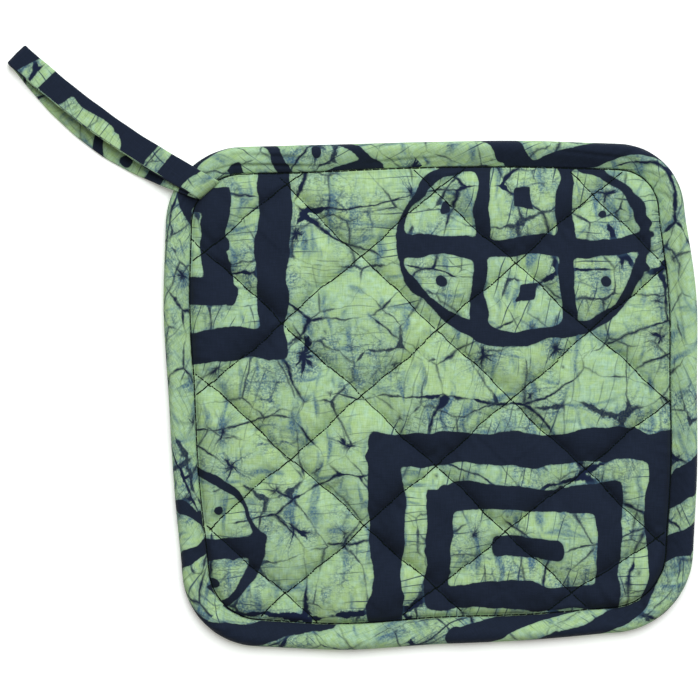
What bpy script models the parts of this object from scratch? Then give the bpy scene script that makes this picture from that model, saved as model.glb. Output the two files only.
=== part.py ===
"""Quilted pot holder: a padded square with a bound edge and a folded hanging loop.

It lies face up on a table. The origin is the middle of the padded square, on the table; +X runs to the
right side, +Y to the top side and +Z up. Sizes are in millimetres until they become points of a mesh.
"""

import math
from collections import namedtuple

import bmesh
import bpy
from mathutils import Vector
from mathutils.geometry import delaunay_2d_cdt

METRES_PER_MM = 0.001

# Outer edge: an arc at each corner, and how far each side bows out of the straight line between two arcs.
# Both tables run counter-clockwise, from the lower left corner and from the bottom side.
Corner = namedtuple("Corner", "x y radius")
CORNERS = (
    Corner(-66.2, -66.8, 29.7),
    Corner(69.1, -59.4, 31.9),
    Corner(71.7, 71.3, 25.9),
    Corner(-72.2, 66.0, 30.0),
)
Bow = namedtuple("Bow", "first_quarter middle last_quarter")
SIDE_BOWS = (
    Bow(2.6, 1.8, 1.6),
    Bow(2.4, 3.1, 3.8),
    Bow(1.4, 1.3, 0.6),
    Bow(2.4, 2.0, 1.6),
)

# Quilting: straight seams through all layers, each given by where it crosses the middle line y = 0 and by
# its slope from the x axis. One family falls to the right and the other rises to the right.
QuiltSeam = namedtuple("QuiltSeam", "crossing slope_deg")
FALLING_SEAMS = (
    QuiltSeam(-143.3, -41.3),
    QuiltSeam(-80.8, -42.0),
    QuiltSeam(-27.1, -43.1),
    QuiltSeam(29.4, -43.5),
    QuiltSeam(89.2, -42.0),
    QuiltSeam(139.0, -45.5),
)
RISING_SEAMS = (
    QuiltSeam(-157.3, 38.6),
    QuiltSeam(-90.1, 40.6),
    QuiltSeam(-26.6, 41.0),
    QuiltSeam(32.4, 40.9),
    QuiltSeam(94.2, 38.8),
    QuiltSeam(168.6, 33.7),
)

# Padded panel: heights of its top face above the table, and of the creases in its two faces.
PUFF_TOP = 7.6
CREASE_TOP = 3.6
CREASE_UNDER = 1.25
TOP_PUFF_REACH = 17.0  # from a crease to the full height
UNDER_PUFF_REACH = 6.5
PUFF_FULLNESS = 0.8  # under 1 makes a puff rise steeply out of its crease
DIAMOND_STEPS = 8  # points across each quilted diamond, from seam to seam
BEYOND_STEP = 64.0  # how far past the outermost seam of a family the points go on
EDGE_MARGIN = 2.0  # no inner point lies closer to the binding seam
RIM_STEPS = 36  # stations in each quarter of the rim

# Binding: a strip of cloth folded round the rim. Its outer face is given from the top lip round to the
# lower lip, by the distance out from the binding seam and the height above the table.
BINDING_WIDTH = 10.2
BINDING_CLOTH = 1.0
BINDING_LIP = 0.35
LAYER_GAP = 0.3
SectionPoint = namedtuple("SectionPoint", "out up")
BINDING_FACE = (
    SectionPoint(0.2, 4.4),
    SectionPoint(0.8, 5.5),
    SectionPoint(2.4, 6.5),
    SectionPoint(4.8, 6.8),
    SectionPoint(7.6, 6.1),
    SectionPoint(9.6, 4.6),
    SectionPoint(BINDING_WIDTH, 3.0),
    SectionPoint(9.5, 1.2),
    SectionPoint(7.6, 0.0),
    SectionPoint(2.0, 0.0),
    SectionPoint(0.2, 0.3),
)

# Hanging loop: a flat strap that leaves the binding seam at the upper left corner, runs out to a fold and
# comes back on top of itself. Run is the distance from the seam, and height is that of the strap's middle.
LOOP_ROOT = Vector((-86.4, 79.7))
LOOP_HEADING_DEG = 144.9
LOOP_RUN = 88.0
STRAP_WIDTH = 9.8
STRAP_THICK = 1.5
STRAP_EDGE_ROUND = 0.45
LOWER_ARM_BOW = 7.8  # sideways, towards the lower left
UPPER_ARM_BOW = 2.7
ArmStation = namedtuple("ArmStation", "run height")
LOWER_ARM = (
    ArmStation(1.8, 6.2),
    ArmStation(4.0, 6.6),
    ArmStation(6.5, 6.6),
    ArmStation(9.5, 6.1),
    ArmStation(15.0, 4.3),
    ArmStation(23.0, 1.8),
    ArmStation(32.0, STRAP_THICK / 2),
    ArmStation(LOOP_RUN, STRAP_THICK / 2),
)
UPPER_ARM = (
    ArmStation(-0.6, 5.0),
    ArmStation(0.3, 6.5),
    ArmStation(1.6, 7.9),
    ArmStation(4.0, 8.5),
    ArmStation(7.0, 8.45),
    ArmStation(12.0, 8.0),
    ArmStation(22.0, 7.9),
    ArmStation(34.0, 8.1),
    ArmStation(46.0, 8.1),
    ArmStation(58.0, 7.7),
    ArmStation(70.0, 6.4),
    ArmStation(80.0, 4.9),
    ArmStation(LOOP_RUN, 3.8),
)
END_SKEW_DEG = 8.4  # the sewn ends lie along the binding seam, turned this far from square
END_SKEW_RUN = 14.0
ARM_STEP = 4.0
FOLD_STEPS = 6

# The loop's sewn end presses the corner flatter under it, round a point this far out from the seam.
PRESS_SHARE = 0.5
PRESS_ABOVE = 3.0
PRESS_REACH = 16.0
PRESS_OUT = 5.0

Finish = namedtuple("Finish", "colour roughness")
PANEL_COTTON = Finish((0.34, 0.52, 0.28, 1.0), 0.92)
BINDING_COTTON = Finish((0.36, 0.54, 0.29, 1.0), 0.9)
LOOP_COTTON = Finish((0.30, 0.46, 0.25, 1.0), 0.9)

ARC_STEPS = 12
SIDE_STEPS = 48


def clear_scene():
    for item in list(bpy.data.objects):
        bpy.data.objects.remove(item)


def make_material(name, finish):
    material = bpy.data.materials.new(name)
    material.use_nodes = True
    shader = material.node_tree.nodes["Principled BSDF"]
    shader.inputs["Base Color"].default_value = finish.colour
    shader.inputs["Roughness"].default_value = finish.roughness
    shader.inputs["Metallic"].default_value = 0.0
    return material


def make_solid(name, points_mm, faces, material):
    """One closed object from points in millimetres, with its faces turned outwards."""
    shape = bmesh.new()
    corners = [shape.verts.new(Vector(p) * METRES_PER_MM) for p in points_mm]
    for face in faces:
        shape.faces.new([corners[k] for k in face])
    bmesh.ops.recalc_face_normals(shape, faces=shape.faces)
    mesh = bpy.data.meshes.new(name)
    shape.to_mesh(mesh)
    shape.free()
    mesh.shade_smooth()
    mesh.set_sharp_from_angle(angle=math.radians(50))
    mesh.materials.append(material)
    made = bpy.data.objects.new(name, mesh)
    bpy.context.scene.collection.objects.link(made)
    return made


def side_height(bow, share):
    """How far a side bows out at this share of its length."""
    knots = (0.0, bow.first_quarter, bow.middle, bow.last_quarter, 0.0)
    inner_slopes = [(knots[k + 1] - knots[k - 1]) / 2 for k in (1, 2, 3)]
    slopes = [bow.first_quarter] + inner_slopes + [-bow.last_quarter]
    place = min(share * 4, 3.999999)
    k = int(place)
    t = place - k
    start = (1 + 2 * t) * (1 - t) ** 2 * knots[k] + t * (1 - t) ** 2 * slopes[k]
    end = t * t * (3 - 2 * t) * knots[k + 1] - t * t * (1 - t) * slopes[k + 1]
    return start + end


def quarter_curve(k):
    """Close points along a quarter of the outer edge, from the middle of corner k to that of the next."""
    first, last = CORNERS[k], CORNERS[(k + 1) % 4]
    facing = math.radians(90 * k - 90)
    outward = Vector((math.cos(facing), math.sin(facing)))

    def arc(corner, begin, steps):
        angles = [facing + begin + math.radians(45) * n / steps for n in range(steps)]
        centre = Vector((corner.x, corner.y))
        return [centre + corner.radius * Vector((math.cos(a), math.sin(a))) for a in angles]

    start = Vector((first.x, first.y)) + outward * first.radius
    end = Vector((last.x, last.y)) + outward * last.radius
    side = []
    for n in range(SIDE_STEPS):
        share = n / SIDE_STEPS
        side.append(start.lerp(end, share) + outward * side_height(SIDE_BOWS[k], share))
    beyond = Vector((last.x, last.y)) + last.radius * Vector(
        (math.cos(facing + math.radians(45)), math.sin(facing + math.radians(45)))
    )
    return arc(first, math.radians(-45), ARC_STEPS) + side + arc(last, 0.0, ARC_STEPS) + [beyond]


class Edge:
    """The outer edge as a closed curve, read by quarter and by share of that quarter's length."""

    def __init__(self):
        self.quarters = []
        for k in range(4):
            points = quarter_curve(k)
            lengths = [0.0]
            for a, b in zip(points, points[1:]):
                lengths.append(lengths[-1] + (b - a).length)
            self.quarters.append((points, lengths))

    def at(self, quarter, share):
        """(point, outward direction) there."""
        points, lengths = self.quarters[quarter % 4]
        wanted = share * lengths[-1]
        k = next(n for n in range(len(points) - 1) if lengths[n + 1] >= wanted - 1e-9)
        along = points[k + 1] - points[k]
        point = points[k] + along * ((wanted - lengths[k]) / (lengths[k + 1] - lengths[k]))
        return point, self.outward(quarter, wanted)

    def outward(self, quarter, length):
        """The outward direction, taken over a short stretch so that it turns evenly."""
        reach = 1.5
        behind, ahead = self.walk(quarter, length - reach), self.walk(quarter, length + reach)
        along = (ahead - behind).normalized()
        return Vector((along.y, -along.x))

    def walk(self, quarter, length):
        while length < 0:
            quarter -= 1
            length += self.quarters[quarter % 4][1][-1]
        while length > self.quarters[quarter % 4][1][-1]:
            length -= self.quarters[quarter % 4][1][-1]
            quarter += 1
        points, lengths = self.quarters[quarter % 4]
        k = next(n for n in range(len(points) - 1) if lengths[n + 1] >= length - 1e-9)
        share = (length - lengths[k]) / (lengths[k + 1] - lengths[k])
        return points[k].lerp(points[k + 1], share)


def seam_line(seam):
    """(a point on the seam, its unit direction)."""
    angle = math.radians(seam.slope_deg)
    return Vector((seam.crossing, 0.0)), Vector((math.cos(angle), math.sin(angle)))


def seam_distance(family, point):
    """Distance from point to the nearest seam of the family."""
    return min(
        abs((point - origin).cross(along)) for origin, along in (seam_line(seam) for seam in family)
    )


def crossing_point(falling, rising):
    (a, along), (b, across) = seam_line(falling), seam_line(rising)
    return a + along * ((b - a).cross(across) / along.cross(across))


def rise(distance, reach):
    """0 in a crease and 1 at the full height of a puff."""
    return math.sin(math.pi / 2 * min(abs(distance) / reach, 1.0)) ** PUFF_FULLNESS


def fullness(point, to_binding, reach):
    falling, rising = seam_distance(FALLING_SEAMS, point), seam_distance(RISING_SEAMS, point)
    return rise(falling, reach) * rise(rising, reach) * rise(to_binding, reach)


def pressed(point, up):
    """Height up at a point of the plan, lowered where the loop's sewn end lies on it."""
    heading = math.radians(LOOP_HEADING_DEG)
    middle = LOOP_ROOT + PRESS_OUT * Vector((math.cos(heading), math.sin(heading)))
    near = math.exp(-(((point - middle).length / PRESS_REACH) ** 2))
    return up - max(up - PRESS_ABOVE, 0.0) * PRESS_SHARE * near


def offset_section(section, distances):
    """The section's points moved to its inner side, each by its own distance."""
    moved = []
    for k, point in enumerate(section):
        before, after = section[max(k - 1, 0)], section[min(k + 1, len(section) - 1)]
        along = Vector((after.out - before.out, after.up - before.up)).normalized()
        moved.append(SectionPoint(point.out + along.y * distances[k], point.up - along.x * distances[k]))
    return moved


def rim_stations(edge, steps):
    """(point on the binding seam, outward direction) at even steps of each quarter."""
    stations = []
    for quarter in range(4):
        for n in range(steps):
            point, outward = edge.at(quarter, n / steps)
            stations.append((point - outward * BINDING_WIDTH, outward))
    return stations


def rim_point(station, section_point):
    seam, outward = station
    plan = seam + outward * section_point.out
    return (plan.x, plan.y, pressed(plan, section_point.up))


def with_beyond(family):
    """The family's seams, and a line past each end of it to carry the points on to the corners."""
    first, last = family[0], family[-1]
    before = QuiltSeam(first.crossing - BEYOND_STEP, first.slope_deg)
    return (before, *family, QuiltSeam(last.crossing + BEYOND_STEP, last.slope_deg))


def diamond_points():
    """Points in even steps across every diamond between the seams, so that they line each crease."""
    falling, rising = with_beyond(FALLING_SEAMS), with_beyond(RISING_SEAMS)
    for i in range((len(falling) - 1) * DIAMOND_STEPS):
        for j in range((len(rising) - 1) * DIAMOND_STEPS):
            f, u = i // DIAMOND_STEPS, i % DIAMOND_STEPS / DIAMOND_STEPS
            r, v = j // DIAMOND_STEPS, j % DIAMOND_STEPS / DIAMOND_STEPS
            near = crossing_point(falling[f], rising[r]).lerp(crossing_point(falling[f + 1], rising[r]), u)
            far = crossing_point(falling[f], rising[r + 1]).lerp(
                crossing_point(falling[f + 1], rising[r + 1]), u
            )
            yield near.lerp(far, v)


def distance_inside(line, point):
    """Shortest distance from point to a counter-clockwise closed line, negative outside it."""
    best, inside = math.inf, False
    for a, b in zip(line, line[1:] + line[:1]):
        along = b - a
        share = min(max((point - a).dot(along) / along.length_squared, 0.0), 1.0)
        best = min(best, (a + along * share - point).length)
        if (a.y > point.y) != (b.y > point.y):
            inside ^= point.x < a.x + along.x * (point.y - a.y) / along.y
    return best if inside else -best


def panel_plan(edge):
    """(plan points with their distance to the binding seam, triangles): the seam's own points come first."""
    seam = [station[0] for station in rim_stations(edge, RIM_STEPS)]
    inner = [(point, distance_inside(seam, point)) for point in diamond_points()]
    plan = [(point, 0.0) for point in seam] + [pair for pair in inner if pair[1] > EDGE_MARGIN]
    plain = [point for point, _ in plan]
    _, _, triangles, origins, _, _ = delaunay_2d_cdt(plain, [], [list(range(len(seam)))], 1, 1e-4)
    return plan, [[origins[k][0] for k in triangle] for triangle in triangles]


def make_panel(edge, material):
    """The quilted panel: both faces puffed between the seams, and a rim that fills the binding."""
    plan, triangles = panel_plan(edge)
    points = []
    for point, to_binding in plan:
        up = CREASE_TOP + (PUFF_TOP - CREASE_TOP) * fullness(point, to_binding, TOP_PUFF_REACH)
        points.append((point.x, point.y, pressed(point, up)))
    for point, to_binding in plan:
        points.append((point.x, point.y, CREASE_UNDER * (1 - fullness(point, to_binding, UNDER_PUFF_REACH))))
    faces = triangles + [[k + len(plan) for k in reversed(triangle)] for triangle in triangles]

    inner = offset_section(BINDING_FACE, [BINDING_CLOTH + LAYER_GAP] * len(BINDING_FACE))[1:-1]
    around = 4 * RIM_STEPS
    rows = [range(around)]
    for section_point in inner:
        rows.append(range(len(points), len(points) + around))
        points += [rim_point(station, section_point) for station in rim_stations(edge, RIM_STEPS)]
    rows.append(range(len(plan), len(plan) + around))
    for upper, lower in zip(rows, rows[1:]):
        for n in range(around):
            m = (n + 1) % around
            faces.append((upper[n], upper[m], lower[m], lower[n]))
    return make_solid("quilted_panel", points, faces, material)


def binding_stations(edge):
    """The panel's own stations round each corner, and every second one along the straighter sides."""
    stations = rim_stations(edge, RIM_STEPS)
    corner_steps = RIM_STEPS // 7
    kept = []
    for n, station in enumerate(stations):
        from_corner = min(n % RIM_STEPS, RIM_STEPS - n % RIM_STEPS)
        if from_corner <= corner_steps or n % 2 == 0:
            kept.append(station)
    return kept


def make_binding(edge, material):
    """The strip round the rim: its outer face, and its inner face one cloth's thickness inside."""
    cloth = [BINDING_LIP] + [BINDING_CLOTH] * (len(BINDING_FACE) - 2) + [BINDING_LIP]
    section = list(BINDING_FACE) + offset_section(BINDING_FACE, cloth)[::-1]
    stations = binding_stations(edge)
    points = [rim_point(station, p) for station in stations for p in section]
    faces = []
    for n in range(len(stations)):
        here, there = n * len(section), (n + 1) % len(stations) * len(section)
        for k in range(len(section)):
            m = (k + 1) % len(section)
            faces.append((here + k, here + m, there + m, there + k))
    return make_solid("edge_binding", points, faces, material)


def smooth_height(stations, run):
    """Height of an arm at this run: a curve through its stations that never swings past them."""
    runs, heights = [s.run for s in stations], [s.height for s in stations]
    steps = [(heights[k + 1] - heights[k]) / (runs[k + 1] - runs[k]) for k in range(len(runs) - 1)]
    slopes = [steps[0]]
    for before, after in zip(steps, steps[1:]):
        slopes.append(2 * before * after / (before + after) if before * after > 0 else 0.0)
    slopes.append(steps[-1])
    k = next((n for n in range(len(steps)) if run <= runs[n + 1]), len(steps) - 1)
    width = runs[k + 1] - runs[k]
    t = (run - runs[k]) / width
    start = (1 + 2 * t) * (1 - t) ** 2 * heights[k] + t * (1 - t) ** 2 * width * slopes[k]
    end = t * t * (3 - 2 * t) * heights[k + 1] - t * t * (1 - t) * width * slopes[k + 1]
    return start + end


def arm_runs(stations):
    """The runs at which an arm is sectioned: its own stations, with even steps between far ones."""
    runs = [stations[0].run]
    for before, after in zip(stations, stations[1:]):
        steps = max(1, math.ceil((after.run - before.run) / ARM_STEP))
        runs += [before.run + (after.run - before.run) * n / steps for n in range(1, steps + 1)]
    return runs


def arm_plan(bow, run):
    """(plan point, heading) of an arm that bows sideways between the seam and the fold."""
    chord = math.radians(LOOP_HEADING_DEG)
    phase = math.pi * run / LOOP_RUN
    forward = Vector((math.cos(chord), math.sin(chord)))
    left = Vector((-forward.y, forward.x))
    point = LOOP_ROOT + forward * run + left * bow * math.sin(phase)
    skew = math.radians(END_SKEW_DEG) * min(max(1 - run / END_SKEW_RUN, 0.0), 1.0)
    return point, chord + math.atan(bow * math.pi / LOOP_RUN * math.cos(phase)) - skew


def strap_line():
    """(point, heading) along the middle of the strap: out on the lower arm, round the fold, and back."""
    line = []
    for run in arm_runs(LOWER_ARM):
        plan, heading = arm_plan(LOWER_ARM_BOW, run)
        line.append((Vector((plan.x, plan.y, smooth_height(LOWER_ARM, run))), heading))
    upper = []
    for run in arm_runs(UPPER_ARM):
        plan, heading = arm_plan(UPPER_ARM_BOW, run)
        upper.append((Vector((plan.x, plan.y, smooth_height(UPPER_ARM, run))), heading))
    (start, heading_in), (end, heading_out) = line[-1], upper[-1]
    radius = (end.z - start.z) / 2
    for n in range(1, FOLD_STEPS):
        share = n / FOLD_STEPS
        turn = math.pi * share
        heading = heading_in + (heading_out - heading_in) * share
        ahead = Vector((math.cos(heading), math.sin(heading), 0.0)) * radius * math.sin(turn)
        level = Vector((start.x, start.y, 0.0)).lerp(Vector((end.x, end.y, 0.0)), share)
        line.append((level + ahead + Vector((0, 0, start.z + radius * (1 - math.cos(turn)))), heading))
    return line + upper[::-1]


def make_loop(material):
    """The hanging loop: one strap, folded back over itself at the tip, with two free ends at the seam."""
    half_width, half_thick = STRAP_WIDTH / 2, STRAP_THICK / 2
    shoulder, edge = half_width - STRAP_EDGE_ROUND, half_thick - STRAP_EDGE_ROUND
    section = (
        (half_width, edge),
        (shoulder, half_thick),
        (-shoulder, half_thick),
        (-half_width, edge),
        (-half_width, -edge),
        (-shoulder, -half_thick),
        (shoulder, -half_thick),
        (half_width, -edge),
    )
    line = strap_line()
    points = []
    for n, (point, heading) in enumerate(line):
        before, after = line[max(n - 1, 0)][0], line[min(n + 1, len(line) - 1)][0]
        across = Vector((-math.sin(heading), math.cos(heading), 0.0))
        outward = across.cross(after - before).normalized()
        points += [point + across * a + outward * b for a, b in section]
    size = len(section)
    faces = [tuple(range(size))[::-1], tuple(range(len(points) - size, len(points)))]
    for n in range(len(line) - 1):
        for k in range(size):
            m = (k + 1) % size
            faces.append((n * size + k, n * size + m, (n + 1) * size + m, (n + 1) * size + k))
    return make_solid("hanging_loop", points, faces, material)


def main():
    clear_scene()
    edge = Edge()
    make_panel(edge, make_material("panel_cotton", PANEL_COTTON))
    make_binding(edge, make_material("binding_cotton", BINDING_COTTON))
    make_loop(make_material("loop_cotton", LOOP_COTTON))


main()
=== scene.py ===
"""A quilted pot holder in batik cotton, lying face up on a pale table."""

import math
from collections import namedtuple

import bpy
import numpy as np
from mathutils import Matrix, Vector
from mathutils.bvhtree import BVHTree


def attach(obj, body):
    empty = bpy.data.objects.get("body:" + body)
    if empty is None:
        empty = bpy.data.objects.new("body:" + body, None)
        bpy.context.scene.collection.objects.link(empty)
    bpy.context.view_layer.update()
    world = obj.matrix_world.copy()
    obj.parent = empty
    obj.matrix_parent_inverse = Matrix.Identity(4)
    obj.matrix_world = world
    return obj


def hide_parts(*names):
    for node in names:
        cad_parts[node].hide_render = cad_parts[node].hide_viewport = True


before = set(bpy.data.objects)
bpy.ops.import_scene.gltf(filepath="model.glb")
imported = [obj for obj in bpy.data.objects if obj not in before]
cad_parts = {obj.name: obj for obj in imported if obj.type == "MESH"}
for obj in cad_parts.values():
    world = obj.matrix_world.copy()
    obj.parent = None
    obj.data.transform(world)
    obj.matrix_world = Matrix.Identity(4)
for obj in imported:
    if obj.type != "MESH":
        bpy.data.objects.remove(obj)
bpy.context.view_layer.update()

# Quilted panel.
# Two squares of batik cotton with batting between them, quilted together by straight seams that cross in
# diamonds. Its raw rim is trimmed round at the corners and held inside the binding.

Corner = namedtuple("Corner", "x y radius")
CORNERS = (
    Corner(-66.2, -66.8, 29.7),
    Corner(69.1, -59.4, 31.9),
    Corner(71.7, 71.3, 25.9),
    Corner(-72.2, 66.0, 30.0),
)
Bow = namedtuple("Bow", "first_quarter middle last_quarter")
SIDE_BOWS = (
    Bow(2.6, 1.8, 1.6),
    Bow(2.4, 3.1, 3.8),
    Bow(1.4, 1.3, 0.6),
    Bow(2.4, 2.0, 1.6),
)
BINDING_WIDTH = 10.2
EDGE_STEPS = 480  # points in each quarter of the outer edge

QuiltSeam = namedtuple("QuiltSeam", "crossing slope_deg")
FALLING_SEAMS = (
    QuiltSeam(-143.3, -41.3),
    QuiltSeam(-80.8, -42.0),
    QuiltSeam(-27.1, -43.1),
    QuiltSeam(29.4, -43.5),
    QuiltSeam(89.2, -42.0),
    QuiltSeam(139.0, -45.5),
)
RISING_SEAMS = (
    QuiltSeam(-157.3, 38.6),
    QuiltSeam(-90.1, 40.6),
    QuiltSeam(-26.6, 41.0),
    QuiltSeam(32.4, 40.9),
    QuiltSeam(94.2, 38.8),
    QuiltSeam(168.6, 33.7),
)

PUFF_TOP = 7.5
CREASE_TOP = 2.7
SEAM_DEPTH = 1.0  # how much deeper the front dips right beside the binding
CREASE_UNDER = 1.4
PUFF_REACH, PUFF_FULLNESS, RIM_FULLNESS = 10.5, 0.62, 0.48  # a puff is full this far from its seams
BACK_REACH, BACK_FULLNESS = 6.5, 0.8
PANEL_HALF = 88.0
PANEL_RINGS = 104
RimRow = namedtuple("RimRow", "out up")
RIM_ROWS = (
    RimRow(1.8, 1.9),
    RimRow(4.6, 3.9),
    RimRow(7.3, 4.3),
    RimRow(8.6, 2.9),
    RimRow(7.3, 1.5),
    RimRow(1.8, 1.5),
)
BACK_CUT_FROM = (417.0, 263.0)
LOOP_ROOT = np.array((-86.4, 79.7))
LOOP_HEADING_DEG = 144.9
# The loop's sewn end presses the corner down: by this share of what stands above this height, out to this
# reach of a place this far out from the loop's root.
PRESS_SHARE, PRESS_ABOVE, PRESS_REACH, PRESS_OUT = 0.5, 3.0, 16.0, 5.0


def smooth_between(start, end, start_slope, end_slope, t):
    """A smooth curve from start to end as t goes from 0 to 1."""
    return (
        (1 + 2 * t) * (1 - t) ** 2 * start
        + t * (1 - t) ** 2 * start_slope
        + t * t * (3 - 2 * t) * end
        - t * t * (1 - t) * end_slope
    )


def side_height(bow, share):
    """How far a side bows out at these shares of its length."""
    knots = np.array((0.0, bow.first_quarter, bow.middle, bow.last_quarter, 0.0))
    slopes = np.array((knots[1], knots[2] / 2, (knots[3] - knots[1]) / 2, -knots[2] / 2, -knots[3]))
    place = np.minimum(share * 4, 3.999999)
    k = place.astype(int)
    return smooth_between(knots[k], knots[k + 1], slopes[k], slopes[k + 1], place - k)


def directions(angles):
    """Unit vectors at these angles."""
    return np.stack((np.cos(angles), np.sin(angles)), axis=-1)


def quarter_curve(k):
    """Even points along a quarter of the outer edge, from the middle of a corner to that of the next."""
    first, last = CORNERS[k], CORNERS[(k + 1) % 4]
    facing = math.radians(90 * k - 90)
    outward = directions(facing)
    centres = [np.array((corner.x, corner.y)) for corner in (first, last)]
    turn = np.radians(np.linspace(0, 45, 40))
    share = np.linspace(0, 1, 200)[:, None]
    start, end = centres[0] + outward * first.radius, centres[1] + outward * last.radius
    straight = start * (1 - share) + end * share
    curve = np.concatenate(
        (
            centres[0] + first.radius * directions(facing - turn[:0:-1]),
            straight + outward * side_height(SIDE_BOWS[k], share[:, 0])[:, None],
            centres[1] + last.radius * directions(facing + turn[1:]),
        )
    )
    lengths = np.concatenate(([0.0], np.cumsum(np.linalg.norm(np.diff(curve, axis=0), axis=1))))
    wanted = np.linspace(0, lengths[-1], EDGE_STEPS, endpoint=False)
    return np.stack([np.interp(wanted, lengths, curve[:, axis]) for axis in (0, 1)], axis=-1)


def smoothed(ring, reach):
    """A closed row of values, each averaged with its neighbours out to reach."""
    return sum(np.roll(ring, shift, axis=0) for shift in range(-reach, reach + 1)) / (2 * reach + 1)


def ripple(place, *waves):
    """A sum of sine waves, each a (length, height, phase), along place."""
    return sum(height * np.sin(2 * math.pi * place / length + phase) for length, height, phase in waves)


EDGE = smoothed(np.concatenate([quarter_curve(k) for k in range(4)]), 8)
EDGE_ALONG = smoothed(np.roll(EDGE, -1, axis=0) - np.roll(EDGE, 1, axis=0), 6)
EDGE_ALONG /= np.linalg.norm(EDGE_ALONG, axis=1)[:, None]
EDGE_OUT = np.stack((EDGE_ALONG[:, 1], -EDGE_ALONG[:, 0]), axis=-1)
EDGE_TURN = np.arange(4 * EDGE_STEPS) / EDGE_STEPS
SEAM_INSET = BINDING_WIDTH + ripple(EDGE_TURN, (4 / 3, 0.2, 1.0), (4 / 7, 0.25, 2.0))
SEAM = EDGE - EDGE_OUT * SEAM_INSET[:, None]


def at_turn(ring, turn):
    """Values of a closed row at these turns: 0 to 4 counter-clockwise from the lower left corner."""
    place = np.mod(turn, 4) * EDGE_STEPS
    low = place.astype(int) % (4 * EDGE_STEPS)
    share = (place - np.floor(place))[..., None]
    return ring[low] * (1 - share) + ring[(low + 1) % (4 * EDGE_STEPS)] * share


def seam_wander(along, number):
    """How far a quilting seam strays sideways from its straight line."""
    return ripple(along, (53, 0.45, number), (21, 0.22, 2 * number), (8.3, 0.1, 3 * number))


def seam_offsets(family, x, y):
    """(signed distance to the family's nearest seam, place along it, its number, its normal)."""
    best = np.full(x.shape, np.inf)
    along, number, normals = np.zeros(x.shape), np.zeros(x.shape, int), np.zeros(x.shape + (2,))
    for n, seam in enumerate(family):
        direction = directions(math.radians(seam.slope_deg))
        normal = np.array((-direction[1], direction[0]))
        reach = (x - seam.crossing) * direction[0] + y * direction[1]
        distance = (x - seam.crossing) * normal[0] + y * normal[1] - seam_wander(reach, n)
        nearer = np.abs(distance) < np.abs(best)
        best = np.where(nearer, distance, best)
        along = np.where(nearer, reach, along)
        number = np.where(nearer, n, number)
        normals[nearer] = normal
    return best, along, number, normals


def rumple(x, y, size, seed):
    """Soft relief between about -1 and 1, its swells about size across."""
    chance = np.random.default_rng(seed)
    relief = np.zeros(x.shape)
    for _ in range(7):
        heading, phase = chance.uniform(0, 2 * math.pi, 2)
        length = size * chance.uniform(1.2, 2.8)
        relief += np.sin(2 * math.pi * (x * math.cos(heading) + y * math.sin(heading)) / length + phase)
    return relief / 3.2


def rise(distance, reach, fullness):
    """0 in a crease and 1 at the full height of a puff."""
    return np.sin(math.pi / 2 * np.minimum(np.abs(distance) / reach, 1.0)) ** fullness


def pucker(distance, along, number):
    """Short folds that the stitching draws up on both sides of a seam."""
    shift = 1.7 * number + np.where(distance > 0, 0.9, 0.0)
    tight = ripple(along, (5.3, 0.5, 0), (3.4, 0.3, 2)) * np.sin(along / 11 + shift)
    loose = ripple(along, (7.9, 0.5, 1), (4.4, 0.35, 3)) * np.cos(along / 13 + 2 * shift)
    near = np.abs(distance)
    return (tight + loose) * np.exp(-((near / 6.5) ** 2)) * np.minimum(near / 1.6, 1.0)


def pressed(x, y, up):
    """Heights, lowered where the loop's sewn end lies on the corner."""
    middle = LOOP_ROOT + PRESS_OUT * directions(math.radians(LOOP_HEADING_DEG))
    near = np.exp(-((x - middle[0]) ** 2 + (y - middle[1]) ** 2) / PRESS_REACH**2)
    return up - np.maximum(up - PRESS_ABOVE, 0) * PRESS_SHARE * near


def panel_heights(x, y, to_binding):
    """(front height, back height) of the quilted panel at these points of its plan."""
    falling, along_f, number_f, _ = seam_offsets(FALLING_SEAMS, x, y)
    rising, along_r, number_r, _ = seam_offsets(RISING_SEAMS, x, y)
    side = 2 * number_f + (falling > 0) + 5 * (2 * number_r + (rising > 0))
    plump = 1 + 0.05 * np.sin(2.3 * side)
    full = rise(falling, PUFF_REACH, PUFF_FULLNESS) * rise(rising, PUFF_REACH, PUFF_FULLNESS)
    full = full * rise(to_binding, PUFF_REACH, RIM_FULLNESS) * plump
    folds = pucker(falling, along_f, number_f) + pucker(rising, along_r, number_r + 3)
    drawn = pucker(to_binding + 0.01, np.arctan2(y, x) * 95, 7)
    spread = np.minimum(to_binding / 5, 1) * np.minimum(np.abs(falling) / 4, 1)
    spread = spread * np.minimum(np.abs(rising) / 4, 1)
    soft = (0.46 * rumple(x, y, 16, 3) + 0.17 * rumple(x, y, 6, 4)) * spread
    edge = np.minimum(to_binding / 2.5, 1)
    front = CREASE_TOP + (PUFF_TOP - CREASE_TOP) * full + 0.42 * folds * edge + 0.34 * drawn + soft
    front -= SEAM_DEPTH * np.exp(-(to_binding**2))
    front -= 0.35 * np.exp(-((np.minimum(np.abs(falling), np.abs(rising)) / 0.5) ** 2))
    under = rise(falling, BACK_REACH, BACK_FULLNESS) * rise(rising, BACK_REACH, BACK_FULLNESS)
    under = under * rise(to_binding, BACK_REACH, BACK_FULLNESS)
    return pressed(x, y, front), CREASE_UNDER * (1 - under)


def ring_turns(rings):
    """(turn, ring) of every place on a square grid of rings round the middle."""
    i, j = np.meshgrid(np.arange(-rings, rings + 1), np.arange(-rings, rings + 1), indexing="ij")
    ring = np.maximum(np.abs(i), np.abs(j))
    width = np.maximum(2 * ring, 1)
    turn = np.select(
        ((j == -ring) & (i < ring), (i == ring) & (j < ring), (j == ring) & (i > -ring)),
        ((i + ring) / width, 1 + (j + ring) / width, 2 + (ring - i) / width),
        3 + (ring - j) / width,
    )
    return turn, ring


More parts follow.
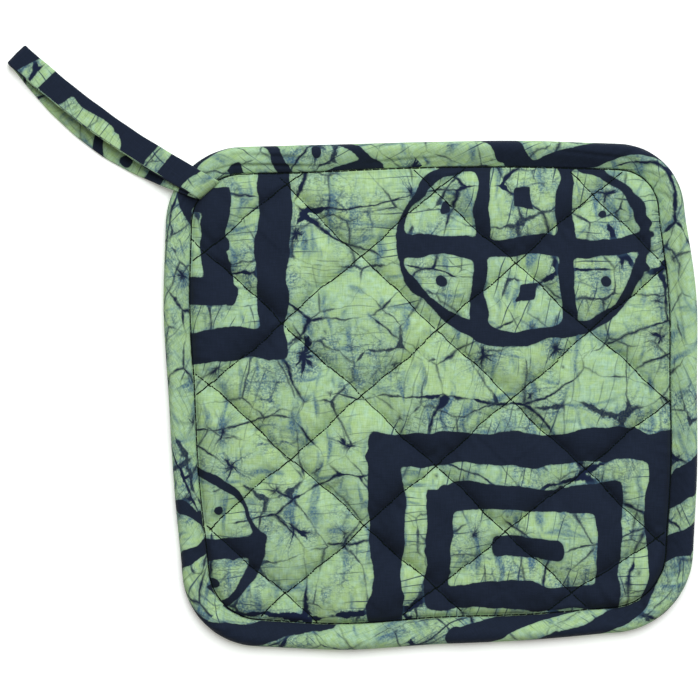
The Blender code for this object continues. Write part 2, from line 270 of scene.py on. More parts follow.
def drawn_onto(family, x, y, reach):
    """Points moved onto the family's seams where one passes within reach."""
    distance, _, _, normals = seam_offsets(family, x, y)
    step = np.where(np.abs(distance) < reach, distance, 0.0)
    return x - step * normals[..., 0], y - step * normals[..., 1]


def sewn_object(name, points_mm, faces, cloth_mm, material):
    """An object from points and faces, with each face corner's place on the flat cloth in its UV map."""
    mesh = bpy.data.meshes.new(name)
    mesh.from_pydata((np.asarray(points_mm) * 0.001).tolist(), [], faces)
    layer = mesh.uv_layers.new(name="cloth")
    layer.data.foreach_set("uv", (np.asarray(cloth_mm) * 0.001).ravel())
    mesh.shade_smooth()
    mesh.materials.append(material)
    made = bpy.data.objects.new(name, mesh)
    bpy.context.scene.collection.objects.link(made)
    return made


class Wire:
    """A value in a finish, so that sums of such values can be written as sums."""

    def __init__(self, finish, socket):
        self.finish, self.socket = finish, socket

    def __add__(self, other):
        return self.finish.maths("ADD", self, other)

    def __sub__(self, other):
        return self.finish.maths("SUBTRACT", self, other)

    def __rsub__(self, other):
        return self.finish.maths("SUBTRACT", other, self)

    def __mul__(self, other):
        return self.finish.maths("MULTIPLY", self, other)

    def __truediv__(self, other):
        return self.finish.maths("DIVIDE", self, other)

    def __pow__(self, other):
        return self.finish.maths("POWER", self, other)

    def __abs__(self):
        return self.finish.maths("ABSOLUTE", self)

    __radd__ = __add__
    __rmul__ = __mul__


class Finish:
    """A material being made, node by node."""

    def __init__(self, name):
        self.material = bpy.data.materials.new(name)
        self.material.use_nodes = True
        self.tree = self.material.node_tree
        self.surface = self.tree.nodes["Principled BSDF"]

    def node(self, kind, settings, sockets, out=0):
        """Add a node: its settings first, then the values or links of its sockets."""
        made = self.tree.nodes.new(kind)
        for name, value in settings.items():
            setattr(made, name, value)
        for place, value in sockets.items():
            self.feed(made.inputs[place], value)
        return Wire(self, made.outputs[out])

    def feed(self, socket, value):
        if isinstance(value, Wire):
            self.tree.links.new(value.socket, socket)
        else:
            socket.default_value = value

    def maths(self, operation, *values):
        return self.node("ShaderNodeMath", {"operation": operation}, dict(enumerate(values)))

    def vectors(self, operation, *values, out=0):
        return self.node("ShaderNodeVectorMath", {"operation": operation}, dict(enumerate(values)), out)

    def also(self, value, out):
        """Another output of the node that a value comes from."""
        return Wire(self, value.socket.node.outputs[out])

    def cloth_place(self):
        """The place on the flat cloth, in millimetres."""
        flat = self.node("ShaderNodeUVMap", {"uv_map": "cloth"}, {})
        return self.vectors("MULTIPLY", flat, (1000.0, 1000.0, 0))

    def step(self, value, low, high):
        """A soft step: 0 below low and 1 above high, or the other way round where low is the larger."""
        return self.node(
            "ShaderNodeMapRange",
            {"interpolation_type": "SMOOTHSTEP"},
            {"Value": value, "From Min": low, "From Max": high},
        )

    def blend(self, factor, a, b):
        """Colour a turning into colour b as factor goes from 0 to 1."""
        return self.node("ShaderNodeMix", {"data_type": "RGBA"}, {0: factor, 6: a, 7: b}, 2)

    def noise(self, place, size, detail=2.0, out=0):
        """Cloudy values with clouds about size across."""
        return self.node(
            "ShaderNodeTexNoise", {}, {"Vector": place, "Scale": 1 / size, "Detail": detail}, out
        )

    def shifted(self, place, size, reach, detail=1.0):
        """place, pushed about by up to reach in swirls about size across."""
        push = self.vectors("SUBTRACT", self.noise(place, size, detail, 1), (0.5, 0.5, 0.5))
        return self.vectors("ADD", place, self.vectors("MULTIPLY", push, (2 * reach, 2 * reach, 0)))


def dye(*screen_values):
    """A colour by its red, green and blue on a screen, each from 0 to 255."""
    shares = [value / 255 for value in screen_values]
    linear = [share / 12.92 if share < 0.04045 else ((share + 0.055) / 1.055) ** 2.4 for share in shares]
    return (*linear, 1.0)


FIRST_DYE = dye(151, 180, 137)
FIRST_DYE_WORN, FIRST_DYE_COOL = dye(160, 186, 135), dye(144, 175, 149)
YELLOWED, BLEACHED = dye(152, 180, 113), dye(161, 193, 171)
PALE_SLUB, DEEP_SLUB = dye(180, 206, 170), dye(106, 135, 100)
SECOND_DYE, SECOND_DYE_WORN = dye(20, 28, 43), dye(25, 33, 51)
STAIN_DYE, VEIN_DYE, BLOT_DYE = dye(65, 96, 120), dye(28, 44, 70), dye(19, 28, 52)
WARP_PITCH, WEFT_PITCH = 0.44, 0.42
REPEAT_ACROSS, REPEAT_UP = 150.0, 116.0
REPEAT_START = (-39.5, -116.0)
ROUND_HALF_WIDTH, ROUND_HALF_HEIGHT = 49, 38


def wax_motifs(finish, place):
    """(distance out of the dark motifs, how upright their nearest edges are), in millimetres.

    The motifs are nested frames and divided rounds by turns, on a repeat that the hand has made uneven.
    """
    hand = finish.shifted(finish.shifted(finish.shifted(place, 34, 5.0), 13, 1.9), 5, 0.4)
    parts = finish.node("ShaderNodeSeparateXYZ", {}, {0: hand})
    across = (parts - REPEAT_START[0]) / REPEAT_ACROSS
    up = (finish.also(parts, 1) - REPEAT_START[1]) / REPEAT_UP
    column, row = finish.maths("FLOOR", across), finish.maths("FLOOR", up)
    x = abs(across - column - 0.5) * REPEAT_ACROSS
    y = abs(up - row - 0.5) * REPEAT_UP

    def frame_line(half_width, half_height, half_line, rounding):
        edge = finish.maths("SMOOTH_MAX", x - half_width, y - half_height, rounding)
        return abs(edge + half_line) - half_line

    outer, inner = frame_line(60, 44, 6.0, 5.0), frame_line(38, 24, 5.2, 4.0)
    core = finish.maths("SMOOTH_MAX", x - 14, y - 3.8, 3.4)
    frames = finish.maths("MINIMUM", finish.maths("MINIMUM", outer, inner), core)

    wide, high = x / ROUND_HALF_WIDTH, y / ROUND_HALF_HEIGHT
    rim = (finish.maths("SQRT", wide**2.0 + high**2.0) - 1) * ROUND_HALF_HEIGHT
    brush = 1.0 + high**2.0 * 2.2
    ring = abs(rim + brush) - brush
    bars = finish.maths("SMOOTH_MIN", abs(x - 16.5) - 2.7, y - 3.8, 3.0)
    middle_dot = finish.maths("SMOOTH_MAX", x - 3.6, abs(y - 19) - 3.9, 1.2)
    side_dot = finish.maths("SQRT", (x - 31) ** 2.0 + (y - 14) ** 2.0) - 2.0
    dots = finish.maths("MINIMUM", middle_dot, side_dot)
    spokes = finish.maths("MAXIMUM", bars, rim)
    rounds = finish.maths("MINIMUM", dots, finish.maths("SMOOTH_MIN", ring, spokes, 3.0))
    turn = finish.maths("FLOORED_MODULO", column + row, 2.0)
    return frames + turn * (rounds - frames) + (finish.noise(hand, 19, 1.0) - 0.5) * 4.5, x - y - 16


def star_bursts(finish, place, size, reach):
    """(blot, haze, hairlines) where the wax cracked from a point and the dye ran out in tapering rays."""
    moved = finish.shifted(finish.shifted(place, 9, 2.0), 2.2, 0.6)
    cells = finish.node(
        "ShaderNodeTexVoronoi", {"voronoi_dimensions": "2D"}, {"Vector": moved, "Scale": 1 / size}
    )
    centre = finish.also(cells, "Position")
    chance = finish.node("ShaderNodeSeparateColor", {}, {0: finish.also(cells, "Color")})
    away = finish.vectors("SUBTRACT", moved, centre)
    distance = finish.vectors("LENGTH", away, out=1)
    strength = finish.step(chance, 0.25, 1.0)
    heading = finish.vectors("NORMALIZE", away)

    def rays(fineness, detail):
        turned = finish.vectors("MULTIPLY", heading, (fineness, fineness, 0))
        return finish.noise(finish.vectors("ADD", turned, centre), 1.0, detail)

    few, many = rays(1.2, 3.0), rays(3.4, 2.0)
    radius = strength * (1.5 + finish.step(few, 0.42, 0.84) ** 1.8 * reach)
    out = distance - radius + (finish.noise(place, 1.3, 2.0) - 0.5) * 1.6
    fading = finish.step(distance / (strength * reach * 1.8 + 0.1), 1.0, 0.2)
    open_side = finish.step(few, 0.43, 0.6)
    hairlines = finish.step(abs(many - 0.5) * distance, 0.34, 0.08) * fading * open_side
    haze = finish.maths("MAXIMUM", finish.step(out, 5.5, 0.0), open_side * fading * 0.8)
    return finish.step(out, 1.5, -1.0), haze * strength, hairlines


def strands(finish, place, crushed, size, width, knot, broken):
    """(dye, halo, fibres) along cracks that ran through the wax, thick where they met, thin between."""
    bent = finish.shifted(finish.shifted(place, size * 0.7, size * 0.15), size * 0.13, size * 0.035, 2.0)
    bent = finish.vectors("MULTIPLY", bent, (0.6, 1.0, 0))
    islands = {"Vector": bent, "Scale": 1 / size, "Randomness": 0.85}
    to_edge = {"feature": "DISTANCE_TO_EDGE", "voronoi_dimensions": "2D"}
    edges = finish.node("ShaderNodeTexVoronoi", to_edge, islands)
    middles = finish.node("ShaderNodeTexVoronoi", {"voronoi_dimensions": "2D"}, islands)
    meeting = finish.step(middles, 0.5, 0.95)
    ragged = finish.noise(place, 3.2, 1.5)
    half = width * (0.2 + 2 * ragged) + meeting * meeting * (ragged * 3.6 - 0.9) * knot
    shown = finish.step(finish.noise(place, size, 2.0) + crushed * 0.09, broken - 0.07, broken + 0.09)
    out = edges * size + 0.16 - (half + 0.16) * shown
    beside = finish.step(out, 0.8 + size * 0.09, 0.0) * shown * (0.3 + 0.7 * meeting)
    lines = finish.maths("SINE", out * 5.5 + finish.noise(place, 3.1, 2.0) * 17)
    soft = finish.noise(place, 7, 1.0) * 1.4 - 0.2
    return finish.step(out, soft, soft * -0.7), beside, finish.step(lines, 0.5, 0.98) * beside


def hair_cracks(finish, place, heading_deg, spacing):
    """Long hair-thin lines, side by side along a heading, where the wax was bent rather than crushed."""
    ahead, aside = directions(math.radians(heading_deg)), directions(math.radians(heading_deg + 90))
    bent = finish.shifted(place, 16, 2.0)
    along = finish.vectors("DOT_PRODUCT", bent, (*ahead, 0), out=1)
    across = finish.vectors("DOT_PRODUCT", bent, (*aside, 0), out=1)
    slow = finish.node("ShaderNodeCombineXYZ", {}, {0: along * 0.045, 1: across * 0.1, 2: spacing})
    patch = finish.node("ShaderNodeCombineXYZ", {}, {0: along * 0.035, 1: across * 0.5, 2: heading_deg})
    strength = finish.noise(patch, 1.0, 1.0)
    lines = finish.maths("SINE", across * (2 * math.pi / spacing) + finish.noise(slow, 1.0, 0.5) * 11)
    return finish.step(lines + strength * 0.8, 1.3, 1.5) * finish.step(strength, 0.45, 0.58)


def smoke(finish, place):
    """Soft streaks, up and across the cloth, where dye seeped in under the wax."""
    bent = finish.shifted(place, 18, 5.0)
    up = finish.noise(finish.vectors("MULTIPLY", bent, (0.22, 0.06, 0)), 1.0, 2.0)
    across = finish.noise(finish.vectors("MULTIPLY", bent, (0.05, 0.2, 0)), 1.0, 2.0)
    return finish.maths("MAXIMUM", finish.step(up, 0.52, 0.72), finish.step(across, 0.55, 0.75))


def crumbled(finish, place, size):
    """Short curly cracks where the wax was crushed fine."""
    curls = finish.noise(finish.vectors("MULTIPLY", place, (0.5, 1.0, 0)), size, 2.0)
    return finish.step(abs(curls - 0.5), 0.035, 0.006)


def green_ground(finish, place, slubs):
    """The first dye: green, mottled by the sun and the wash, paler and deeper along the slubs."""
    faded = finish.step(finish.noise(place, 45, 2.0), 0.38, 0.62)
    green = finish.blend(faded, FIRST_DYE_WORN, FIRST_DYE_COOL)
    green = finish.blend(finish.step(finish.noise(place, 9, 3.0), 0.3, 0.7), green, FIRST_DYE)
    green = finish.blend(finish.step(finish.noise(place, 1.9, 3.0), 0.58, 0.36) * 0.55, green, YELLOWED)
    green = finish.blend(finish.step(finish.noise(place, 2.6, 3.0), 0.48, 0.7) * 0.6, green, BLEACHED)
    green = finish.blend(finish.step(slubs, -0.1, 0.45) * 0.45, green, PALE_SLUB)
    return finish.blend(finish.step(slubs, 0.05, -0.45) * 0.4, green, DEEP_SLUB)


def crackled(finish, place, green, slubs, motifs, upright):
    """The green after the second dye has run in through the cracks of the wax."""
    crushed = finish.step(finish.noise(place, 27, 2.0), 0.45, 0.61)
    speckle = finish.step(finish.noise(place, 0.8, 2.0) + slubs * 0.4, 0.38, 0.62)
    streaky = finish.noise(finish.vectors("MULTIPLY", place, (1.0, 0.45, 0)), 4.4, 4.0)
    mist = crushed * finish.step(streaky, 0.42, 0.64)

    long, long_halo, long_fibres = strands(finish, place, crushed, 27.0, 0.27, 2.0, 0.46)
    second_place = finish.vectors("MULTIPLY", place, (1.25, 0.8, 0))
    second_place = finish.vectors("ADD", second_place, (57.0, 91.0, 0))
    short, short_halo, short_fibres = strands(finish, second_place, crushed, 15.0, 0.14, 1.1, 0.51)
    third_place = finish.vectors("ADD", place, (-33.0, 45.0, 0))
    fine, fine_halo, _ = strands(finish, third_place, crushed, 5.5, 0.07, 0.35, 0.55)
    blots, blot_haze, rays = star_bursts(finish, place, 24.0, 12.0)
    level_hairs = hair_cracks(finish, place, 4, 2.7) * finish.step(upright, -9, 5)
    steep_hairs = hair_cracks(finish, place, 74, 3.3) * finish.step(upright, 5, -9)
    beside_wax = 0.45 + 0.55 * finish.step(motifs, 12, 2)
    hairs = finish.maths("MAXIMUM", level_hairs, steep_hairs) * beside_wax
    hairs = finish.maths("MAXIMUM", hairs, crumbled(finish, place, 2.2) * crushed * 0.45)

    halo = finish.maths("MAXIMUM", finish.maths("MAXIMUM", long_halo, blot_haze), short_halo)
    stain = finish.maths("MAXIMUM", halo * 0.9, fine_halo * crushed)
    stain = finish.maths("MAXIMUM", stain, mist * 0.8)
    green = finish.blend(finish.step(stain, 0.15, 0.5) * (1 - speckle) * 0.4, green, PALE_SLUB)
    green = finish.blend(smoke(finish, place) * (0.6 + 0.35 * speckle), green, STAIN_DYE)
    green = finish.blend(stain * (0.25 + 0.75 * speckle), green, STAIN_DYE)
    threads = finish.maths("MAXIMUM", long_fibres, short_fibres * 0.8)
    green = finish.blend(finish.maths("MAXIMUM", hairs * 0.85, threads * 0.75), green, VEIN_DYE)
    green = finish.blend(finish.maths("MAXIMUM", fine * crushed * 0.7, rays * 0.55), green, VEIN_DYE)
    veins = finish.maths("MAXIMUM", long, short * 0.9)
    return finish.blend(finish.maths("MAXIMUM", veins, blots), green, BLOT_DYE)


def batik_cotton():
    """Plain-woven cotton, dyed green, waxed by hand and dyed again in navy."""
    finish = Finish("batik_cotton")
    place = finish.cloth_place()
    slub_across = finish.noise(finish.vectors("MULTIPLY", place, (0.22, 2.1, 0)), 1.0, 2.0)
    slub_up = finish.noise(finish.vectors("MULTIPLY", place, (2.1, 0.22, 0)), 1.0, 2.0)
    slubs = slub_across + slub_up - 1
    motifs, upright = wax_motifs(finish, place)
    green = crackled(finish, place, green_ground(finish, place, slubs), slubs, motifs, upright)

    drips = finish.step(finish.noise(finish.shifted(place, 5, 1.0), 9, 0.5), 0.62, 0.85) * 1.8
    motifs = motifs + (finish.noise(place, 1.4, 1.0) - 0.5) * 0.45 - drips
    dark = finish.step(motifs, 0.2, -0.2)
    navy = finish.blend(finish.step(slubs, -0.4, 0.5), SECOND_DYE, SECOND_DYE_WORN)
    colour = finish.blend(finish.step(motifs, 1.4, 0.0) * 0.25, green, STAIN_DYE)

    yarns = finish.shifted(finish.shifted(place, 11, 0.6), 2.5, 0.3)
    parts = finish.node("ShaderNodeSeparateXYZ", {}, {0: yarns})
    warp = finish.maths("SINE", parts * (2 * math.pi / WARP_PITCH))
    weft = finish.maths("SINE", finish.also(parts, 1) * (2 * math.pi / WEFT_PITCH))
    weave = warp * weft * 0.25 + slubs
    relief = finish.node("ShaderNodeBump", {}, {"Strength": 0.4, "Distance": 0.00016, "Height": weave})
    finish.feed(finish.surface.inputs["Base Color"], finish.blend(dark, colour, navy))
    finish.feed(finish.surface.inputs["Roughness"], 0.94 - dark * 0.08)
    finish.feed(finish.surface.inputs["Normal"], relief)
    finish.surface.inputs["Sheen Weight"].default_value = 0.03
    finish.surface.inputs["Sheen Roughness"].default_value = 0.5
    finish.surface.inputs["Specular IOR Level"].default_value = 0.12
    return finish.material


def make_panel(material):
    """Front and back of the panel on one grid, joined round a rim that lies inside the binding."""
    turn, ring = ring_turns(PANEL_RINGS)
    share = ring / PANEL_RINGS
    seam, outward = at_turn(SEAM, turn), at_turn(EDGE_OUT, turn)
    to_binding = (seam * outward).sum(axis=-1) * (1 - share)
    x, y = seam[..., 0] * share, seam[..., 1] * share
    cell = PANEL_HALF / PANEL_RINGS
    for family in (FALLING_SEAMS, RISING_SEAMS):
        moved_x, moved_y = drawn_onto(family, x, y, 0.37 * cell)
        inner = ring < PANEL_RINGS - 1
        x, y = np.where(inner, moved_x, x), np.where(inner, moved_y, y)
    front, back = panel_heights(x, y, to_binding)

    size = 2 * PANEL_RINGS + 1
    grid = np.arange(size * size).reshape(size, size)
    quads = np.stack((grid[:-1, :-1], grid[1:, :-1], grid[1:, 1:], grid[:-1, 1:]), axis=-1)
    quads = quads.reshape(-1, 4)
    flat = np.stack((x, y), axis=-1).reshape(-1, 2)
    points = [np.column_stack((flat, front.ravel())), np.column_stack((flat, back.ravel()))]
    cloth = [flat, flat * (-1, 1) + BACK_CUT_FROM]
    faces = [quads, quads[:, ::-1] + size * size]

    rim_first = np.argsort(turn.ravel() + 10 * (ring.ravel() < PANEL_RINGS))
    on_rim = grid.ravel()[rim_first][: 8 * PANEL_RINGS]
    rows = [on_rim]
    rim_seam, rim_out = seam.reshape(-1, 2)[on_rim], outward.reshape(-1, 2)[on_rim]
    for out, up in RIM_ROWS:
        rows.append(len(on_rim) * (len(rows) - 1) + 2 * size * size + np.arange(len(on_rim)))
        plan = rim_seam + rim_out * out
        points.append(np.column_stack((plan, pressed(plan[:, 0], plan[:, 1], np.full(len(plan), up)))))
        cloth.append(plan)
    rows.append(on_rim + size * size)
    for upper, lower in zip(rows, rows[1:]):
        faces.append(np.stack((upper, lower, np.roll(lower, -1), np.roll(upper, -1)), axis=-1))
    faces = np.concatenate(faces)
    corners = np.concatenate(cloth)[faces.ravel()]
    return sewn_object("panel_quilted", np.concatenate(points), faces.tolist(), corners, material)


cotton = batik_cotton()
panel = make_panel(cotton)
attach(panel, "root")
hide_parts("quilted_panel")

# Quilting stitches.
# Dark green cotton thread, machine stitched through all layers about four stitches to the centimetre. It
# lies in the bottom of every crease and in the ditch beside the binding, and shows the same on the back.
# Its finish is painted near black, darker than the thread, as painted shade of those creases and the
# ditch.

STITCH_PITCH = 2.7
STITCH_LENGTH = 2.72
THREAD_RADIUS = 0.26
THREAD_SIDES = 6
THREAD_LIFT, END_DIP = 0.17, 0.3
STITCH_STRAY, STITCH_SKEW = 0.05, 0.03
STITCH_STATIONS = (-0.5, -0.42, -0.2, 0.0, 0.2, 0.42, 0.5)


def surface_finder(piece):
    """The piece's surface, ready to be looked up from above or below."""
    corners = [vertex.co for vertex in piece.data.vertices]
    return BVHTree.FromPolygons(corners, [tuple(face.vertices) for face in piece.data.polygons])


def quilting_places():
    """(middle, direction) of every quilting stitch that lies inside the binding."""
    places = []
    for n, seam in (*enumerate(FALLING_SEAMS), *enumerate(RISING_SEAMS)):
        along = directions(math.radians(seam.slope_deg))
        reach = np.arange(-220, 220, STITCH_PITCH)[:, None]
        stray = seam_wander(reach, n) * (-along[1], along[0])
        middles = reach * along + stray + (seam.crossing, 0)
        from_seam = middles[:, None, :] - SEAM[None, ::6, :]
        nearest = np.argmin((from_seam**2).sum(axis=-1), axis=1)
        depth = -(from_seam[np.arange(len(middles)), nearest] * EDGE_OUT[::6][nearest]).sum(axis=-1)
        places += [(middle, along) for middle in middles[depth > 0.9]]
    return places


def binding_places():
    """(middle, direction) of the binding's stitches in its ditch, whose dark row is also painted shade."""
    seam_length = np.linalg.norm(np.diff(SEAM, axis=0), axis=1).sum()
    turns = np.arange(0, 4, 4 * STITCH_PITCH / seam_length)
    along = at_turn(EDGE_ALONG, turns)
    along /= np.linalg.norm(along, axis=1)[:, None]
    # The binding's stitches, drawn as a near-black row that also paints the shade of the ditch.
    return list(zip(at_turn(SEAM + 0.06 * EDGE_OUT, turns), along))


def make_stitches(places, surface, from_above, material, name):
    """All the stitches on one face, each a short thread laid on the surface with its ends dipping in."""
    points, faces, cloth = [], [], []
    chance = np.random.default_rng(12)
    turns = np.arange(THREAD_SIDES) * 2 * math.pi / THREAD_SIDES
    side_up = 1 if from_above else -1
    last_station = len(STITCH_STATIONS) - 1
    for middle, along in places:
        across = np.array((-along[1], along[0]))
        middle = middle + across * chance.normal(0, STITCH_STRAY)
        skew = chance.normal(0, STITCH_SKEW)
        start = len(points)
        for station in STITCH_STATIONS:
            plan = middle + (along + across * skew) * station * STITCH_LENGTH
            hit = surface.ray_cast(Vector((*plan, 50.0 * side_up)) * 0.001, Vector((0, 0, -side_up)))[0]
            level = hit.z * 1000 if hit else (CREASE_TOP if from_above else CREASE_UNDER)
            lift = (THREAD_LIFT - END_DIP * max(abs(station) - 0.2, 0)) * side_up
            radius = THREAD_RADIUS * (0.8 if abs(station) == 0.5 else 1.0)
            for turn in turns:
                side = plan + across * radius * math.cos(turn)
                points.append((side[0], side[1], level + lift + radius * math.sin(turn)))
        for n in range(last_station):
            for k in range(THREAD_SIDES):
                m = (k + 1) % THREAD_SIDES
                a, b = start + n * THREAD_SIDES, start + (n + 1) * THREAD_SIDES
                faces.append((a + k, b + k, b + m, a + m))
                cloth += [(n, k), (n + 1, k), (n + 1, k + 1), (n, k + 1)]
        last = start + last_station * THREAD_SIDES
        faces.append(tuple(start + k for k in range(THREAD_SIDES)))
        faces.append(tuple(last + k for k in reversed(range(THREAD_SIDES))))
        cloth += [(station, k) for station in (0, last_station) for k in range(THREAD_SIDES)]
    return sewn_object(name, points, faces, cloth, material)


def quilting_thread():
    """Cotton thread painted near black for its crease's shade, with painted highlight on each ply's crown.
    """
    finish = Finish("quilting_thread")
    along = finish.node("ShaderNodeSeparateXYZ", {}, {0: finish.cloth_place()})
    around = finish.also(along, 1)
    ply = finish.maths("SINE", along * 4.2 + around * (2 * math.pi / THREAD_SIDES))
    # Painted light: the near-black stands for the dark green thread plus its crease's shade; pale ply
    # crowns are painted highlight.
    colour = finish.blend(finish.step(ply, -0.6, 0.9), dye(6, 13, 12), dye(14, 24, 21))
    relief = finish.node("ShaderNodeBump", {}, {"Strength": 0.6, "Distance": 0.0001, "Height": ply})
    finish.feed(finish.surface.inputs["Base Color"], colour)
    finish.feed(finish.surface.inputs["Normal"], relief)
    finish.surface.inputs["Roughness"].default_value = 0.85
    finish.surface.inputs["Specular IOR Level"].default_value = 0.08
    return finish.material


thread = quilting_thread()
panel_surface = surface_finder(panel)
stitch_places = quilting_places() + binding_places()
for side_name, from_above in (("stitches_front", True), ("stitches_back", False)):
    stitches = make_stitches(stitch_places, panel_surface, from_above, thread, side_name)
    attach(stitches, "root")

# Edge binding.
# A strip of the same batik cut aslant, folded round the rim of the panel and sewn down so that both
# of its edges are turned under. It forms a soft roll, gathered a little on the inside of the corners.

BINDING_CLOTH, LIP_CLOTH = 1.0, 0.35
BINDING_GRAIN_DEG, BINDING_CUT_FROM = -152, (-135, 964)
# The roll's section, from the seam on the front, over the rim, to the seam on the back: how far out each
# point lies, and how high where the roll sits even and where it leans outward.
SectionPoint = namedtuple("SectionPoint", "out even_up leaning_up")
BINDING_FACE = (
    SectionPoint(0.45, 2.0, 1.9),
    SectionPoint(0.45, 2.8, 2.2),
    SectionPoint(0.8, 3.5, 2.6),
    SectionPoint(1.5, 4.25, 3.15),
    SectionPoint(2.6, 5.1, 4.05),
    SectionPoint(4.2, 6.0, 5.25),
    SectionPoint(5.7, 6.55, 6.25),
    SectionPoint(7.3, 6.55, 6.95),
    SectionPoint(8.7, 5.95, 6.9),
    SectionPoint(9.7, 4.7, 5.6),
    SectionPoint(10.2, 3.1, 3.6),
    SectionPoint(10.0, 1.6, 1.7),
    SectionPoint(9.3, 0.55, 0.6),
    SectionPoint(8.2, 0.08, 0.08),
    SectionPoint(7.0, 0.0, 0.0),
    SectionPoint(2.0, 0.0, 0.0),
    SectionPoint(1.1, 0.08, 0.08),
    SectionPoint(0.5, 0.5, 0.5),
    SectionPoint(0.3, 1.1, 1.1),
)
# How far the roll leans outward at the middle of the bottom, right, top and left side.
BINDING_LEAN = (0.1, 1.0, 1.0, 0.3)
# A long fold in the roll: the turn at its middle, its reach, its place across, its drift and its depth.
Fold = namedtuple("Fold", "turn reach across drift depth")
BINDING_FOLDS = (
    Fold(2.84, 0.12, 0.16, 0.03, 0.62),
    Fold(2.83, 0.09, 0.30, 0.04, 0.5),
    Fold(2.55, 0.08, 0.17, -0.03, 0.3),
    Fold(2.15, 0.10, 0.26, 0.05, 0.32),
    Fold(1.83, 0.09, 0.30, 0.09, 0.42),
    Fold(1.66, 0.07, 0.18, -0.06, 0.34),
    Fold(1.05, 0.06, 0.30, 0.10, 0.42),
    Fold(0.97, 0.05, 0.20, 0.09, 0.36),
    Fold(0.90, 0.05, 0.33, 0.08, 0.3),
    Fold(0.30, 0.10, 0.24, 0.03, 0.28),
    Fold(3.08, 0.06, 0.25, 0.06, 0.34),
    Fold(3.55, 0.12, 0.22, -0.04, 0.3),
    Fold(3.97, 0.06, 0.31, 0.09, 0.34),
)
BINDING_STATIONS = 1100
SECTION_STEPS = 44


def even_curve(points, count):
    """Evenly spaced points along a smooth curve through points, with the lengths along it."""
    knots = np.asarray(points, float)
    before = np.concatenate((2 * knots[:1] - knots[1:2], knots, 2 * knots[-1:] - knots[-2:-1]))
    fine = []
    for k in range(len(knots) - 1):
        p0, p1, p2, p3 = before[k : k + 4]
        t = np.linspace(0, 1, 24, endpoint=k == len(knots) - 2)[:, None]
        bend, twist = 2 * p0 - 5 * p1 + 4 * p2 - p3, 3 * p1 - p0 - 3 * p2 + p3
        fine.append(0.5 * (2 * p1 + (p2 - p0) * t + bend * t**2 + twist * t**3))
    fine = np.concatenate(fine)
    lengths = np.concatenate(([0.0], np.cumsum(np.linalg.norm(np.diff(fine, axis=0), axis=1))))
    wanted = np.linspace(0, lengths[-1], count)
    even = np.stack([np.interp(wanted, lengths, fine[:, k]) for k in range(fine.shape[1])], axis=-1)
    return even, wanted


def cut_from_cloth(runs, widths, grain_deg, start):
    """Where runs along a strip and widths across it lie on the flat cloth that it was cut from."""
    grain = math.radians(grain_deg)
    x = runs * math.cos(grain) - widths * math.sin(grain) + start[0]
    y = runs * math.sin(grain) + widths * math.cos(grain) + start[1]
    return np.stack((x, y), axis=-1)


